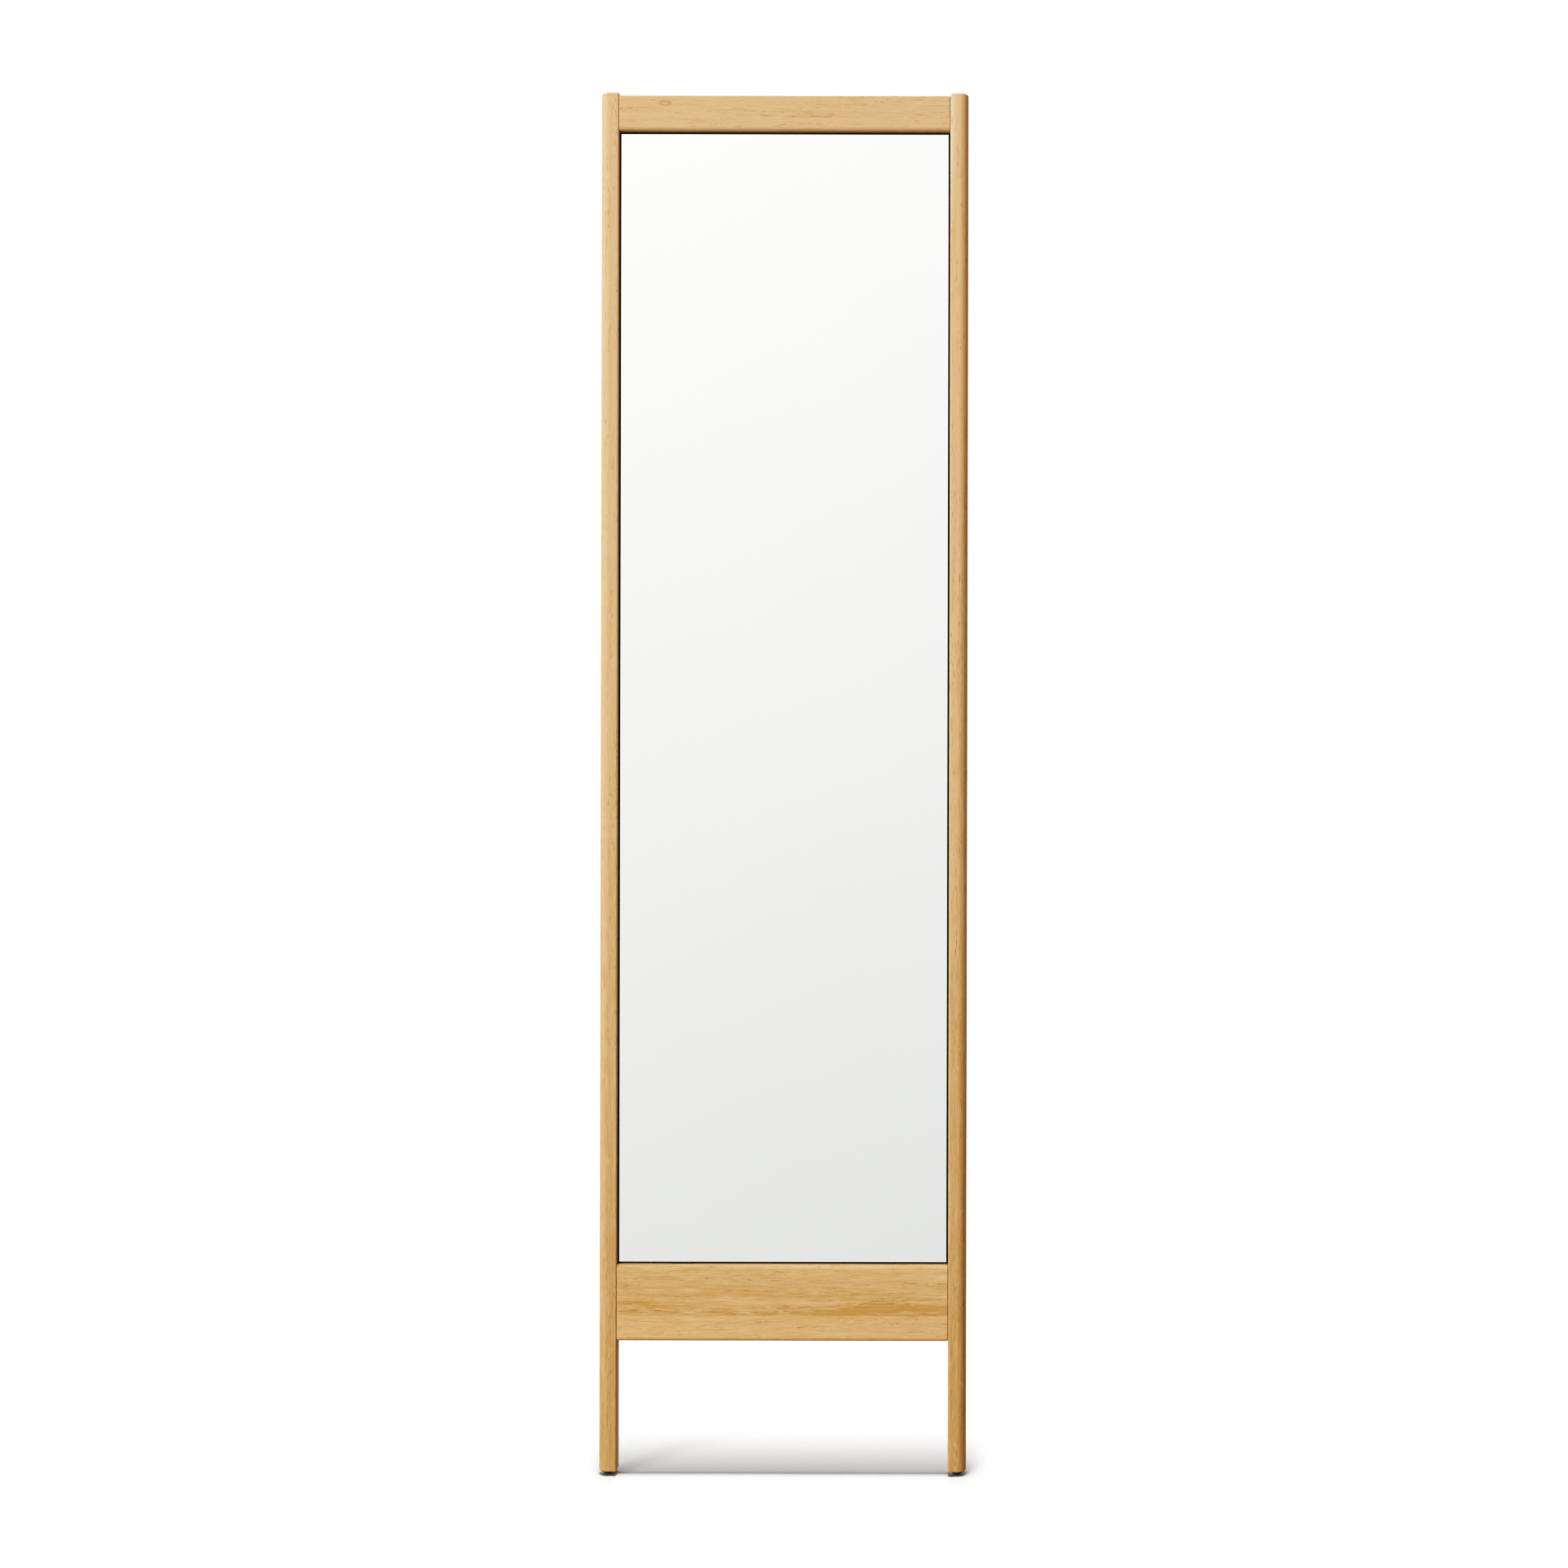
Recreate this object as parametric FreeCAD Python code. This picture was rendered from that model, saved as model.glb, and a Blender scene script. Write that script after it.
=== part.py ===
"""Leaning floor mirror: a slim oak frame around a full-height mirror, on two screw-in glides.

Frame of the part: +X to the viewer's right, the mirror faces -Y, +Z up. The origin is on the floor, at the
centre of the part's box. Millimetres.
"""

import FreeCAD
import Part
import math
import os

V = FreeCAD.Vector

# ---- overall ----
OVERALL_HEIGHT = 1955.0
OVERALL_WIDTH = 520.0

# ---- stiles: the two uprights, which are also the legs ----
STILE_WIDTH = 26.0
STILE_DEPTH = 26.0
STILE_EDGE_ROUND = 2.6      # edges beside the mirror; the outer side is a full half-round
STILE_END_ROUND = 2.4       # round the top and bottom ends
LESS_THAN_EDGE = 0.95       # most that the end round may be of the edge round

# ---- rails ----
LEG_LENGTH = 185.0          # stile below the bottom rail
BOTTOM_RAIL_HEIGHT = 108.5
LOWER_BOARD_HEIGHT = 36.5   # the bottom rail is two boards glued edge to edge
TOP_RAIL_HEIGHT = 50.5
TOP_RAIL_DROP = 4.2         # stile standing above the top rail
RAIL_DEPTH = 21.0           # the rails are flush with the stiles in front
RAIL_BIG_ROUND = 6.0        # front edges beside the mirror and under the bottom rail
RAIL_SMALL_ROUND = 2.0      # every other long edge
RAIL_END_EASE = 1.5         # shoulders, where a rail meets a stile

# ---- mirror and what carries it ----
GLASS_RECESS = 7.0          # stile face to glass face
GLASS_THICKNESS = 4.0
GLASS_GAP_SIDE = 1.9        # dark line between glass and stile
GLASS_GAP_END = 2.2         # dark line between glass and rail
GLASS_ARRIS = 0.6           # ground edge of the glass
FILM_THICKNESS = 0.3        # shatter film on the silvering
FILM_INSET = 2.0
TAPE_THICKNESS = 1.0
TAPE_WIDTH = 24.0
TAPE_COUNT = 5
TAPE_END_INSET = 40.0
TAPE_SIDE_INSET = 30.0
PANEL_THICKNESS = 6.0
PANEL_LAP_SIDE = 8.0        # rebate in each stile
PANEL_LAP_END = 9.0         # rebate in each rail
PANEL_PLAY = 0.5            # panel edge to rebate wall
SETTING_BLOCK_LENGTH = 30.0
SETTING_BLOCK_PLAY = 0.1    # left under the glass, so that the block can be slid in
SETTING_BLOCK_INSET = 90.0  # glass edge to block

# ---- panel screws ----
SCREW_SHANK = 3.0
SCREW_LENGTH = 15.0
SCREW_HEAD = 6.4
SCREW_HEAD_HEIGHT = 2.0
SCREW_POINT = 0.2           # radius left at the tip
SCREW_CAP_ROUND = 0.6       # of the head's height
SCREW_RECESS = 2.2          # across the driver recess, three times its slots' width
SCREW_RECESS_DEPTH = 1.2
SIDE_SCREWS = 6             # down each stile
END_SCREWS = 2              # along each rail
SCREW_PLAY = 0.05           # radial, shank in its hole

# ---- dowels ----
DOWEL_DIAMETER = 8.0
DOWEL_IN_STILE = 14.0
DOWEL_IN_RAIL = 25.0
DOWEL_CHAMFER = 0.8
DOWEL_PLAY = 0.05
DOWEL_END_GAP = 0.8         # glue room past each end
TOP_DOWELS = (13.0, 30.0)             # below the top rail's top edge
BOTTOM_DOWELS = (18.0, 56.0, 82.0)    # above the bottom rail's lower edge

# ---- feet ----
INSERT_DIAMETER = 10.0
INSERT_LENGTH = 15.0
INSERT_SINK = 0.5           # insert mouth above the stile's end
INSERT_PLAY = 0.05
STUD_DIAMETER = 6.0
STUD_LENGTH = 25.0          # above the pad
STUD_IN_PAD = 2.6
STUD_PLAY = 0.06            # running fit in the insert and in the pad
STUD_TIP_CHAMFER = 0.8
FOOT_HOLE_SPARE = 5.0       # hole past the stud's tip
FOOT_HOLE_PLAY = 0.5        # radial, stud in the hole past the insert
PAD_DIAMETER = 14.4
PAD_FLOOR_DIAMETER = 8.0
PAD_RIM = 1.2               # straight rim of the pad, next to the stile
PAD_HEIGHT = 5.0
PAD_GAP = 0.3               # pad to stile, fully screwed in
PAD_DOME_STEPS = 8

# ---- wall rests at the back of the stiles' tops ----
REST_DIAMETER = 10.0
REST_THICKNESS = 2.0
REST_EDGE = 0.6
REST_FROM_TOP = 24.0

# ---- swivelling wall tab on the back of the top rail ----
TAB_WIDTH = 16.0
TAB_THICKNESS = 2.0
TAB_HOLE_SPACING = 30.0
TAB_WALL_HOLE = 5.5
TAB_EDGE = 0.4
TAB_PIVOT_FROM_TOP = 13.0
TAB_GAP = 0.3               # rail to tab, and tab to screw head
TAB_SCREW_SHANK = 4.0
TAB_SCREW_LENGTH = 15.0     # in the rail
TAB_SCREW_HEAD = 9.0
TAB_SCREW_HEAD_HEIGHT = 1.6
TAB_PIVOT_PLAY = 0.08
TAB_SPACER_DIAMETER = 7.0   # sleeve on the screw, inside the tab's pivot hole

CUT_PAST = 1.0              # how far a cutting block goes past the surface that it cuts

# ---- worked out from the sizes above ----
GLIDE_HEIGHT = PAD_HEIGHT + PAD_GAP
FACE_Y = -(STILE_DEPTH + REST_THICKNESS) / 2
BACK_Y = FACE_Y + STILE_DEPTH
MID_Y = FACE_Y + STILE_DEPTH / 2
INNER_X = OVERALL_WIDTH / 2 - STILE_WIDTH
STILE_MID_X = INNER_X + STILE_WIDTH / 2
STILE_HEIGHT = OVERALL_HEIGHT - GLIDE_HEIGHT
RAIL_BACK_Y = FACE_Y + RAIL_DEPTH
RAIL_MID_Y = FACE_Y + RAIL_DEPTH / 2
BOTTOM_RAIL_Z = GLIDE_HEIGHT + LEG_LENGTH
SEAM_Z = BOTTOM_RAIL_Z + LOWER_BOARD_HEIGHT
OPENING_LOW = BOTTOM_RAIL_Z + BOTTOM_RAIL_HEIGHT
TOP_RAIL_TOP = OVERALL_HEIGHT - TOP_RAIL_DROP
OPENING_HIGH = TOP_RAIL_TOP - TOP_RAIL_HEIGHT
GLASS_FACE_Y = FACE_Y + GLASS_RECESS
GLASS_BACK_Y = GLASS_FACE_Y + GLASS_THICKNESS
FILM_BACK_Y = GLASS_BACK_Y + FILM_THICKNESS
PANEL_FACE_Y = FILM_BACK_Y + TAPE_THICKNESS      # also the rebates' shoulder
PANEL_BACK_Y = PANEL_FACE_Y + PANEL_THICKNESS
GLASS_HALF_X = INNER_X - GLASS_GAP_SIDE
GLASS_LOW = OPENING_LOW + GLASS_GAP_END
GLASS_HIGH = OPENING_HIGH - GLASS_GAP_END
SCREW_X = INNER_X + PANEL_LAP_SIDE / 2
SCREW_LOW = OPENING_LOW - PANEL_LAP_END / 2
SCREW_HIGH = OPENING_HIGH + PANEL_LAP_END / 2
TAB_PIVOT_Z = TOP_RAIL_TOP - TAB_PIVOT_FROM_TOP
TAB_FACE_Y = RAIL_BACK_Y + TAB_GAP
SPACER_LENGTH = TAB_THICKNESS + 2 * TAB_GAP
TAB_PIVOT_HOLE = TAB_SPACER_DIAMETER + 2 * TAB_PIVOT_PLAY


# ---- helpers ----
def block(low, high):
    """A box between two corners."""
    size = [b - a for a, b in zip(low, high)]
    return Part.makeBox(*size, V(*low))


def rod(radius, start, direction, length):
    return Part.makeCylinder(radius, length, V(*start), V(*direction))


def mirrored(shape):
    """The same piece on the other side of the plane X = 0."""
    return shape.mirror(V(0, 0, 0), V(1, 0, 0))


def edges_where(shape, test):
    return [e for e in shape.Edges if test(e)]


def edge_spans(edge, axis):
    """Length of an edge's box along axis 0, 1 or 2."""
    box = edge.BoundBox
    return (box.XLength, box.YLength, box.ZLength)[axis]


def flat_at(edge, axis, value):
    """True for an edge that lies in the plane axis = value."""
    box = edge.BoundBox
    low = (box.XMin, box.YMin, box.ZMin)[axis]
    return abs(low - value) < 1e-4 and edge_spans(edge, axis) < 1e-4


def spread(low, high, count):
    """count places from low to high, evenly spaced."""
    return [low + (high - low) * i / (count - 1) for i in range(count)]


def group(solids):
    return Part.makeCompound(solids)


def save(node, shape):
    shape = shape.removeSplitter() if shape.ShapeType == "Solid" else shape
    shape.exportStep(f"parts/{node}.step")
    print(f"{node:26s} solids {len(shape.Solids):2d}  volume {shape.Volume / 1000:9.2f} cm3")


# ---- places used by more than one piece ----
def dowel_heights():
    top = [TOP_RAIL_TOP - d for d in TOP_DOWELS]
    bottom = [BOTTOM_RAIL_Z + d for d in BOTTOM_DOWELS]
    return top, bottom


def panel_screw_places():
    """(x, z) of every screw that holds the backing panel."""
    sides = [(s * SCREW_X, z) for s in (-1, 1) for z in spread(SCREW_LOW, SCREW_HIGH, SIDE_SCREWS + 2)[1:-1]]
    across = spread(-INNER_X, INNER_X, END_SCREWS + 2)[1:-1]
    return sides + [(x, z) for z in (SCREW_LOW, SCREW_HIGH) for x in across]


def dowel_holes():
    """Every dowel hole, as rods to cut from the stiles and the rails."""
    top, bottom = dowel_heights()
    start = INNER_X - DOWEL_IN_RAIL - DOWEL_END_GAP
    length = DOWEL_IN_RAIL + DOWEL_IN_STILE + 2 * DOWEL_END_GAP
    radius = DOWEL_DIAMETER / 2 + DOWEL_PLAY
    right = [rod(radius, (start, RAIL_MID_Y, z), (1, 0, 0), length) for z in top + bottom]
    return right + [mirrored(hole) for hole in right]


def panel_screw_holes():
    radius = SCREW_SHANK / 2 + SCREW_PLAY
    return [rod(radius, (x, PANEL_BACK_Y, z), (0, -1, 0), SCREW_LENGTH + SCREW_PLAY)
            for x, z in panel_screw_places()]


def rebate():
    """The pocket that takes the backing panel, open to the back."""
    return block((-INNER_X - PANEL_LAP_SIDE, PANEL_FACE_Y, OPENING_LOW - PANEL_LAP_END),
                 (INNER_X + PANEL_LAP_SIDE, BACK_Y, OPENING_HIGH + PANEL_LAP_END))


# ---- frame ----
def right_stile():
    """D section, half-round outside, with both ends rounded over."""
    radius = STILE_DEPTH / 2
    outer = OVERALL_WIDTH / 2
    a = V(INNER_X, FACE_Y, GLIDE_HEIGHT)
    b = V(outer - radius, FACE_Y, GLIDE_HEIGHT)
    tip = V(outer, MID_Y, GLIDE_HEIGHT)
    c = V(outer - radius, BACK_Y, GLIDE_HEIGHT)
    d = V(INNER_X, BACK_Y, GLIDE_HEIGHT)
    sides = [Part.makeLine(a, b), Part.Arc(b, tip, c).toShape(), Part.makeLine(c, d), Part.makeLine(d, a)]
    stile = Part.Face(Part.Wire(sides)).extrude(V(0, 0, STILE_HEIGHT))
    inner = edges_where(stile, lambda e: flat_at(e, 0, INNER_X) and edge_spans(e, 2) > STILE_HEIGHT / 2)
    stile = stile.makeFillet(STILE_EDGE_ROUND, inner)
    ends = edges_where(stile, lambda e: flat_at(e, 2, GLIDE_HEIGHT) or flat_at(e, 2, OVERALL_HEIGHT))
    # the end round follows the rounded inner edges, so it stays a little smaller than they are
    stile = stile.makeFillet(min(STILE_END_ROUND, LESS_THAN_EDGE * STILE_EDGE_ROUND), ends)
    foot_hole = rod(INSERT_DIAMETER / 2 + INSERT_PLAY, (STILE_MID_X, MID_Y, GLIDE_HEIGHT), (0, 0, 1),
                    INSERT_SINK + INSERT_LENGTH)
    stud_room = rod(STUD_DIAMETER / 2 + FOOT_HOLE_PLAY, (STILE_MID_X, MID_Y, GLIDE_HEIGHT), (0, 0, 1),
                    STUD_LENGTH + FOOT_HOLE_SPARE)
    return stile.cut([rebate(), foot_hole, stud_room] + dowel_holes() + panel_screw_holes())


def rail(low, high, big_edges):
    """A rail between the stiles. big_edges lists the front edges' heights that get the large round."""
    bar = block((-INNER_X, FACE_Y, low), (INNER_X, RAIL_BACK_Y, high))
    long_edges = edges_where(bar, lambda e: edge_spans(e, 0) > INNER_X)
    big = [e for e in long_edges if flat_at(e, 1, FACE_Y) and any(flat_at(e, 2, z) for z in big_edges)]
    bar = bar.makeFillet(RAIL_BIG_ROUND, big)
    small = edges_where(bar, lambda e: edge_spans(e, 0) > INNER_X and (
        any(flat_at(e, 2, z) and flat_at(e, 1, y) for z in (low, high) for y in (FACE_Y, RAIL_BACK_Y))))
    bar = bar.makeFillet(RAIL_SMALL_ROUND, small)
    shoulders = edges_where(bar, lambda e: flat_at(e, 0, -INNER_X) or flat_at(e, 0, INNER_X))
    return bar.makeFillet(RAIL_END_EASE, shoulders)


def top_rail():
    bar = rail(OPENING_HIGH, TOP_RAIL_TOP, [OPENING_HIGH])
    pivot_hole = rod(TAB_SCREW_SHANK / 2 + SCREW_PLAY, (0, RAIL_BACK_Y, TAB_PIVOT_Z), (0, -1, 0),
                     TAB_SCREW_LENGTH + SCREW_PLAY)
    return bar.cut([rebate(), pivot_hole] + dowel_holes() + panel_screw_holes())


def bottom_rail_boards():
    """(lower, upper): one rail, parted at the glue line."""
    bar = rail(BOTTOM_RAIL_Z, OPENING_LOW, [BOTTOM_RAIL_Z, OPENING_LOW])
    bar = bar.cut([rebate()] + dowel_holes() + panel_screw_holes())
    below = block((-INNER_X - CUT_PAST, FACE_Y - CUT_PAST, BOTTOM_RAIL_Z - CUT_PAST),
                  (INNER_X + CUT_PAST, RAIL_BACK_Y + CUT_PAST, SEAM_Z))
    return bar.common(below), bar.cut(below)


def dowels(heights):
    """Chamfered dowels across the right joint, at these heights."""
    solids = []
    for z in heights:
        length = DOWEL_IN_RAIL + DOWEL_IN_STILE
        pin = rod(DOWEL_DIAMETER / 2, (INNER_X - DOWEL_IN_RAIL, RAIL_MID_Y, z), (1, 0, 0), length)
        solids.append(pin.makeChamfer(DOWEL_CHAMFER, edges_where(pin, lambda e: edge_spans(e, 0) < 1e-4)))
    return group(solids)


# ---- mirror ----
def mirror_glass():
    glass = block((-GLASS_HALF_X, GLASS_FACE_Y, GLASS_LOW), (GLASS_HALF_X, GLASS_BACK_Y, GLASS_HIGH))
    return glass.makeChamfer(GLASS_ARRIS, edges_where(glass, lambda e: flat_at(e, 1, GLASS_FACE_Y)))


def shatter_film():
    return block((-GLASS_HALF_X + FILM_INSET, GLASS_BACK_Y, GLASS_LOW + FILM_INSET),
                 (GLASS_HALF_X - FILM_INSET, FILM_BACK_Y, GLASS_HIGH - FILM_INSET))


def mounting_tapes():
    """Upright strips of double-sided foam tape between the film and the panel."""
    edge = GLASS_HALF_X - TAPE_SIDE_INSET - TAPE_WIDTH / 2
    return group([block((x - TAPE_WIDTH / 2, FILM_BACK_Y, GLASS_LOW + TAPE_END_INSET),
                        (x + TAPE_WIDTH / 2, PANEL_FACE_Y, GLASS_HIGH - TAPE_END_INSET))
                  for x in spread(-edge, edge, TAPE_COUNT)])


def backing_panel():
    half = INNER_X + PANEL_LAP_SIDE - PANEL_PLAY
    panel = block((-half, PANEL_FACE_Y, OPENING_LOW - PANEL_LAP_END + PANEL_PLAY),
                  (half, PANEL_BACK_Y, OPENING_HIGH + PANEL_LAP_END - PANEL_PLAY))
    return panel.cut(panel_screw_holes())


def setting_blocks():
    """Two small blocks under the glass, on the bottom rail."""
    half = SETTING_BLOCK_LENGTH / 2
    centre = GLASS_HALF_X - SETTING_BLOCK_INSET
    top = GLASS_LOW - SETTING_BLOCK_PLAY
    return group([block((x - half, GLASS_FACE_Y, OPENING_LOW), (x + half, GLASS_BACK_Y, top))
                  for x in (-centre, centre)])


# ---- screws ----
def pan_screw(x, y, z, shank, length, head, head_height):
    """A pan-head screw driven towards -Y, its head's underside at y."""
    body = rod(shank / 2, (x, y, z), (0, -1, 0), length - shank / 2)
    tip = Part.makeCone(shank / 2, SCREW_POINT, shank / 2, V(x, y - length + shank / 2, z), V(0, -1, 0))
    cap = rod(head / 2, (x, y, z), (0, 1, 0), head_height)
    rim = edges_where(cap, lambda e: flat_at(e, 1, y + head_height))
    cap = cap.makeFillet(head_height * SCREW_CAP_ROUND, rim)
    screw = cap.fuse([body, tip]).removeSplitter()
    arm, slot = SCREW_RECESS / 2, SCREW_RECESS / 6
    deep, proud = y + head_height - SCREW_RECESS_DEPTH, y + head_height + CUT_PAST
    cross = [block((x - arm, deep, z - slot), (x + arm, proud, z + slot)),
             block((x - slot, deep, z - arm), (x + slot, proud, z + arm))]
    return screw.cut(cross)


def backing_panel_screws():
    return group([pan_screw(x, PANEL_BACK_Y, z, SCREW_SHANK, SCREW_LENGTH, SCREW_HEAD, SCREW_HEAD_HEIGHT)
                  for x, z in panel_screw_places()])


# ---- feet ----
def foot_insert():
    start = (STILE_MID_X, MID_Y, GLIDE_HEIGHT + INSERT_SINK)
    sleeve = rod(INSERT_DIAMETER / 2, start, (0, 0, 1), INSERT_LENGTH)
    return sleeve.cut(rod(STUD_DIAMETER / 2 + STUD_PLAY, start, (0, 0, 1), INSERT_LENGTH))


def glide_pad():
    """A low domed pad, turned from an outline: a straight rim, then a quarter ellipse to the floor face."""
    rim, floor = PAD_DIAMETER / 2, PAD_FLOOR_DIAMETER / 2
    dome_top = PAD_HEIGHT - PAD_RIM
    turn = [i * math.pi / 2 / PAD_DOME_STEPS for i in range(PAD_DOME_STEPS + 1)]
    dome = [V(floor + (rim - floor) * math.sin(t), 0, dome_top * (1 - math.cos(t))) for t in turn]
    curve = Part.BSplineCurve()
    curve.interpolate(dome)
    foot, top_edge, top = V(0, 0, 0), V(rim, 0, PAD_HEIGHT), V(0, 0, PAD_HEIGHT)
    outline = [Part.makeLine(foot, dome[0]), curve.toShape(), Part.makeLine(dome[-1], top_edge),
               Part.makeLine(top_edge, top), Part.makeLine(top, foot)]
    pad = Part.Face(Part.Wire(outline)).revolve(V(0, 0, 0), V(0, 0, 1), 360)
    pad.translate(V(STILE_MID_X, MID_Y, 0))
    socket_end = (STILE_MID_X, MID_Y, PAD_HEIGHT - STUD_IN_PAD - STUD_PLAY)
    socket = rod(STUD_DIAMETER / 2 + STUD_PLAY, socket_end, (0, 0, 1), STUD_IN_PAD + CUT_PAST)
    return pad.cut(socket)


def glide_stud():
    start = (STILE_MID_X, MID_Y, PAD_HEIGHT - STUD_IN_PAD)
    stud = rod(STUD_DIAMETER / 2, start, (0, 0, 1), STUD_IN_PAD + STUD_LENGTH)
    tip = edges_where(stud, lambda e: flat_at(e, 2, PAD_HEIGHT + STUD_LENGTH))
    return stud.makeChamfer(STUD_TIP_CHAMFER, tip)


# ---- back of the top: wall rests and wall tab ----
def wall_rest():
    x = INNER_X + (STILE_WIDTH - STILE_DEPTH / 2) / 2
    disc = rod(REST_DIAMETER / 2, (x, BACK_Y, OVERALL_HEIGHT - REST_FROM_TOP), (0, 1, 0), REST_THICKNESS)
    return disc.makeFillet(REST_EDGE, edges_where(disc, lambda e: flat_at(e, 1, BACK_Y + REST_THICKNESS)))


def wall_tab():
    """A steel strap with round ends, hanging from its pivot, with the wall-screw hole at its free end."""
    radius = TAB_WIDTH / 2
    low = TAB_PIVOT_Z - TAB_HOLE_SPACING
    strap = block((-radius, TAB_FACE_Y, low), (radius, TAB_FACE_Y + TAB_THICKNESS, TAB_PIVOT_Z))
    ends = [rod(radius, (0, TAB_FACE_Y, z), (0, 1, 0), TAB_THICKNESS) for z in (low, TAB_PIVOT_Z)]
    strap = strap.fuse(ends).removeSplitter()
    faces = (TAB_FACE_Y, TAB_FACE_Y + TAB_THICKNESS)
    rims = edges_where(strap, lambda e: any(flat_at(e, 1, y) for y in faces))
    strap = strap.makeChamfer(TAB_EDGE, rims)
    holes = [rod(TAB_PIVOT_HOLE / 2, (0, TAB_FACE_Y, TAB_PIVOT_Z), (0, 1, 0), TAB_THICKNESS),
             rod(TAB_WALL_HOLE / 2, (0, TAB_FACE_Y, low), (0, 1, 0), TAB_THICKNESS)]
    return strap.cut(holes)


def wall_tab_spacer():
    """The sleeve that the tab turns on, clamped between the rail and the screw head."""
    start = (0, RAIL_BACK_Y, TAB_PIVOT_Z)
    sleeve = rod(TAB_SPACER_DIAMETER / 2, start, (0, 1, 0), SPACER_LENGTH)
    return sleeve.cut(rod(TAB_SCREW_SHANK / 2 + SCREW_PLAY, start, (0, 1, 0), SPACER_LENGTH))


def wall_tab_screw():
    return pan_screw(0, RAIL_BACK_Y + SPACER_LENGTH, TAB_PIVOT_Z, TAB_SCREW_SHANK,
                     TAB_SCREW_LENGTH + SPACER_LENGTH, TAB_SCREW_HEAD, TAB_SCREW_HEAD_HEIGHT)


def main():
    os.makedirs("parts", exist_ok=True)
    top, bottom = dowel_heights()
    pairs = {
        "stile": right_stile(),
        "top_dowels": dowels(top),
        "bottom_dowels": dowels(bottom),
        "foot_insert": foot_insert(),
        "glide_pad": glide_pad(),
        "glide_stud": glide_stud(),
        "wall_rest": wall_rest(),
    }
    for name, shape in pairs.items():
        save(f"right_{name}", shape)
        save(f"left_{name}", mirrored(shape))
    lower, upper = bottom_rail_boards()
    save("top_rail", top_rail())
    save("bottom_rail_lower_board", lower)
    save("bottom_rail_upper_board", upper)
    save("mirror_glass", mirror_glass())
    save("shatter_film", shatter_film())
    save("mounting_tapes", mounting_tapes())
    save("backing_panel", backing_panel())
    save("setting_blocks", setting_blocks())
    save("backing_panel_screws", backing_panel_screws())
    save("wall_tab", wall_tab())
    save("wall_tab_spacer", wall_tab_spacer())
    save("wall_tab_screw", wall_tab_screw())


main()
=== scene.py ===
"""Looks of the leaning floor mirror: an oak frame round a full-height mirror, with turned glides,
wall rests, panel screws and a black painted back.

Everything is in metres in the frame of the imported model: +X to the viewer's right, the mirror
faces -Y, +Z up.
The wooden pieces, glides and screws are skins over stacks of rings, worked out as whole arrays.
"""

import math

import bpy
import numpy as np
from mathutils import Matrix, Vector


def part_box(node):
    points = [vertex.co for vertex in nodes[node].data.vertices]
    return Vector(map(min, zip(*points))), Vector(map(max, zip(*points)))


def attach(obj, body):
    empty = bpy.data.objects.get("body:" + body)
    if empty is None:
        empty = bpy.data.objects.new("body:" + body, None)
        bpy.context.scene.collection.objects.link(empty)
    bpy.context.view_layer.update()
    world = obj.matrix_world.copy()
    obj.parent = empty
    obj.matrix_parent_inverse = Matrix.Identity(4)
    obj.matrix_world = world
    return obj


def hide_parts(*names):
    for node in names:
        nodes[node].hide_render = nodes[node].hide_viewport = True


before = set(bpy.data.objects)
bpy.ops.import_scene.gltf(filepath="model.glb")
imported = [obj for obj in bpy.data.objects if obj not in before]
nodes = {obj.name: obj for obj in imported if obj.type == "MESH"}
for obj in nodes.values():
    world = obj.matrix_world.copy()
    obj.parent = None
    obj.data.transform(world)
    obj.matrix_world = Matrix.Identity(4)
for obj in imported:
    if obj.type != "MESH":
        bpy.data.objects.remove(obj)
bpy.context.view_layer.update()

MM = 0.001

# ---- the sizes of the wooden frame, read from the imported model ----
STILE_LOW, STILE_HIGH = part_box("right_stile")
RAIL_LOW, RAIL_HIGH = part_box("top_rail")
LOWER_LOW, LOWER_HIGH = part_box("bottom_rail_lower_board")
UPPER_LOW, UPPER_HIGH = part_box("bottom_rail_upper_board")
PANEL_LOW, PANEL_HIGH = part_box("backing_panel")
PAD_LOW, PAD_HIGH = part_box("right_glide_pad")
STUD_LOW, STUD_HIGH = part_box("right_glide_stud")
REST_LOW, REST_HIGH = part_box("right_wall_rest")
INSERT_LOW, INSERT_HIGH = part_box("right_foot_insert")
TAB_SCREW_LOW, TAB_SCREW_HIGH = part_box("wall_tab_screw")

SEAM_Z = UPPER_LOW.z        # glue line between the bottom rail's boards
STILE_DEPTH = STILE_HIGH.y - STILE_LOW.y
STILE_MID_X = (PAD_LOW.x + PAD_HIGH.x) / 2
STILE_MID_Y = (STILE_LOW.y + STILE_HIGH.y) / 2
STILE_EDGE_ROUND = 2.6 * MM
STILE_END_ROUND = 2.4 * MM

RAIL_BIG_ROUND = 6.0 * MM
RAIL_SMALL_ROUND = 2.0 * MM
RAIL_END_EASE = 1.5 * MM

PANEL_PLAY = 0.5 * MM
REBATE_Y = PANEL_LOW.y
REBATE_X = PANEL_HIGH.x + PANEL_PLAY
REBATE_LOW_Z = PANEL_LOW.z - PANEL_PLAY
REBATE_HIGH_Z = PANEL_HIGH.z + PANEL_PLAY

HOLE_WALL = 0.05 * MM       # insert to the wall of its hole
STUD_ROOM = 0.5 * MM        # stud to the wall of its hole
STUD_ROOM_TOP = 5.0 * MM    # hole past the stud's tip
THREAD_PITCH = 1.0 * MM
THREAD_DEPTH = 0.55 * MM
SCREW_CELL = 20 * MM        # a square this big holds no more than one panel screw

SUPPORT = 0.4 * MM          # a flat face's own strip next to a round, so that it shades flat
SHARP_DEGREES = 32          # faces that meet at more than this keep a hard edge


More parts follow.
